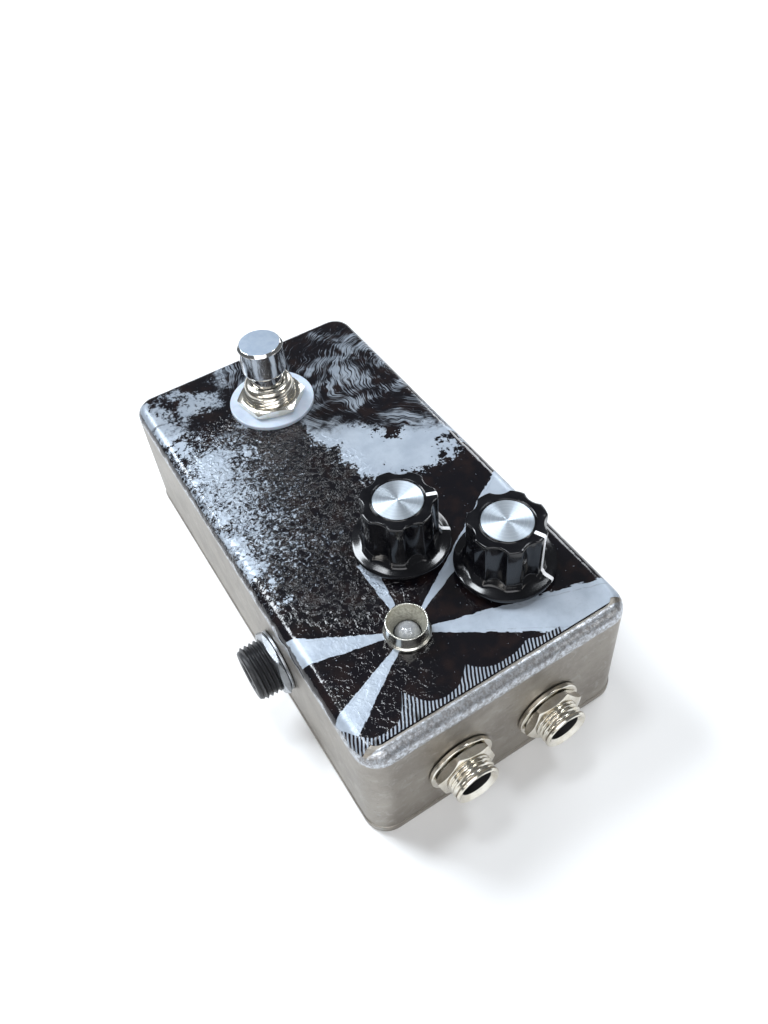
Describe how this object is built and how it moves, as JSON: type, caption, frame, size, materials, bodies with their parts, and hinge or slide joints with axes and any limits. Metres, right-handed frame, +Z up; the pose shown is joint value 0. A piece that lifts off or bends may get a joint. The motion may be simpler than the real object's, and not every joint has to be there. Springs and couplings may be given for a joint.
{
  "type": "guitar effects pedal",
  "caption": "Compact guitar effects pedal in a die-cast box, with rotary knobs, a lamp, a footswitch, audio jacks at one end and a power socket on the side.",
  "frame": {"origin": "centre of the base plate's underside, on the surface that the pedal stands on", "axes": "+Z up; +X towards the power socket, the player's right; +Y along the box, away from the player, out of the audio jacks"},
  "size_m": [0.0667, 0.1179, 0.0485],
  "materials": {
    "cast_aluminium": "satin die-cast, worn bright on its shoulders",
    "printed_film": "clear film with a black print, finely wrinkled",
    "zinc_steel": "zinc plated",
    "nickel": "nickel plated, turned",
    "polished_chrome": "polished",
    "white_nylon": "smooth translucent white",
    "clear_lens": "water clear",
    "knob_black": "polished moulded black",
    "spun_aluminium": "spun, with fine circular lines",
    "pointer_white": "white line",
    "brass": "turned",
    "black_moulding": "moulded black",
    "blue_moulding": "moulded blue",
    "phenolic": "laminate",
    "tinned_lug": "tinned",
    "spring_steel": "drawn wire",
    "board_green": "solder mask",
    "capacitor_sleeve": "shrunk sleeve",
    "capacitor_red": "dipped",
    "resistor_tan": "lacquered",
    "foam_grey": "open-cell foam",
    "wire_insulation": "insulated hookup wire"
  },
  "bodies": {
    "root": {"enclosure": "cast_aluminium", "base_plate": "cast_aluminium", "base_screws": "zinc_steel", "top_film": "printed_film", "footswitch_body": "blue_moulding", "footswitch_frame": "zinc_steel", "footswitch_bushing": "nickel", "footswitch_nut": "nickel", "footswitch_lock_nut": "nickel", "footswitch_tooth_washer": "zinc_steel", "nylon_washer": "white_nylon", "footswitch_spring": "spring_steel", "footswitch_lugs": "tinned_lug", "pot_washers": "zinc_steel", "pot_nuts": "zinc_steel", "jack_washers": "nickel", "jack_nuts": "nickel", "led_bezel": "polished_chrome", "led_nut": "nickel", "led": "clear_lens", "led_leads": "tinned_lug", "dc_jack_barrel": "black_moulding", "dc_jack_pin": "nickel", "dc_jack_washer": "zinc_steel", "dc_jack_nut": "zinc_steel", "dc_jack_lugs": "tinned_lug", "circuit_board": "board_green", "foam_pad": "foam_grey", "electrolytic_capacitors": "capacitor_sleeve", "film_capacitors": "capacitor_red", "resistors": "resistor_tan", "amplifier_chip": "black_moulding", "hookup_wires": "wire_insulation", "pot_1_body": "zinc_steel", "pot_1_wafer": "phenolic", "pot_1_lugs": "tinned_lug", "pot_1_bushing": "nickel", "jack_1_barrel": "nickel", "jack_1_body": "black_moulding", "jack_1_lugs": "tinned_lug", "pot_2_body": "zinc_steel", "pot_2_wafer": "phenolic", "pot_2_lugs": "tinned_lug", "pot_2_bushing": "nickel", "jack_2_barrel": "nickel", "jack_2_body": "black_moulding", "jack_2_lugs": "tinned_lug"},
    "knob_1": {"knob_1_body": "knob_black", "knob_1_disc": "spun_aluminium", "knob_1_pointer": "pointer_white", "knob_1_insert": "brass", "knob_1_grub_screw": "zinc_steel", "pot_1_shaft": "nickel"},
    "knob_2": {"knob_2_body": "knob_black", "knob_2_disc": "spun_aluminium", "knob_2_pointer": "pointer_white", "knob_2_insert": "brass", "knob_2_grub_screw": "zinc_steel", "pot_2_shaft": "nickel"},
    "footswitch_plunger": {"footswitch_button": "polished_chrome"}
  },
  "joints": [
    {"name": "knob_1_turn", "type": "hinge", "parent": "root", "child": "knob_1", "pos_m": [-0.0011, 0.0186, 0.04], "axis": [0, 0, 1], "range_deg": [-218, 82]},
    {"name": "knob_2_turn", "type": "hinge", "parent": "root", "child": "knob_2", "pos_m": [-0.0148, 0.0344, 0.04], "axis": [0, 0, 1], "range_deg": [-175.5, 124.5]},
    {"name": "footswitch_press", "type": "slide", "parent": "root", "child": "footswitch_plunger", "axis": [0, 0, -1], "range_m": [0, 0.0025], "stiffness_N_per_m": 2000, "deforming": ["footswitch_spring"]}
  ]
}
